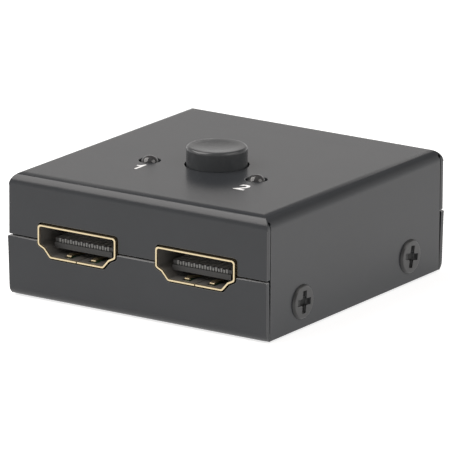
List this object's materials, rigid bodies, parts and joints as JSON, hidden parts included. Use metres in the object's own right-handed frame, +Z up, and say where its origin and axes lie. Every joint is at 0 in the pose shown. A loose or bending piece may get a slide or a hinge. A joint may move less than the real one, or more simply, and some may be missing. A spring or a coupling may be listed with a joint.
{
  "type": "hdmi switch box",
  "caption": "Small folded-metal box that joins one rear video socket to either of two front ones by a sprung push button, with a lamp for each.",
  "frame": {"origin": "middle of the underside, on the table", "axes": "+Z up through the push button's side, -Y out of the face with two sockets, +X to the right as that face is looked at"},
  "size_m": [0.049, 0.0508, 0.0228],
  "materials": {
    "case_paint": "fine satin black paint",
    "screw_black": "black oxide",
    "gilt": "thin gilt plating",
    "contact_metal": "plated contact strip",
    "socket_black": "moulded",
    "cap_black": "fine satin moulding",
    "lamp_clear": "clear epoxy, unlit",
    "plain_steel": "zinc plated",
    "copper": "bare strip",
    "white_plastic": "moulded",
    "board": "solder mask over glass laminate",
    "chip_black": "moulded epoxy",
    "capacitor_tan": "fired ceramic with tinned ends"
  },
  "bodies": {
    "case": {"cover": "case_paint", "tray": "case_paint", "side_screws": "screw_black", "standoffs": "plain_steel", "pcb": "board", "pcb_screws": "plain_steel", "input_1_shell": "gilt", "input_1_block": "socket_black", "input_1_tongue": "socket_black", "input_1_contacts": "contact_metal", "input_2_shell": "gilt", "input_2_block": "socket_black", "input_2_tongue": "socket_black", "input_2_contacts": "contact_metal", "output_shell": "gilt", "output_block": "socket_black", "output_tongue": "socket_black", "output_contacts": "contact_metal", "switch_spring": "plain_steel", "switch_lid": "plain_steel", "switch_base": "socket_black", "switch_terminals": "copper", "led_1_lamp": "lamp_clear", "led_1_leads": "plain_steel", "led_1_spacer": "white_plastic", "led_2_lamp": "lamp_clear", "led_2_leads": "plain_steel", "led_2_spacer": "white_plastic", "switch_chip": "chip_black", "switch_chip_leads": "plain_steel", "protection_arrays": "chip_black", "capacitors": "capacitor_tan", "resistors": "chip_black", "regulator": "chip_black"},
    "button": {"button_cap": "cap_black", "switch_plunger": "white_plastic", "switch_bridge": "copper"}
  },
  "joints": [
    {"name": "button_press", "type": "slide", "parent": "case", "child": "button", "axis": [0, 0, -1], "range_m": [0, 0.002], "stiffness_N_per_m": 400, "springref_m": -0.002, "deforming": ["switch_spring"]}
  ]
}
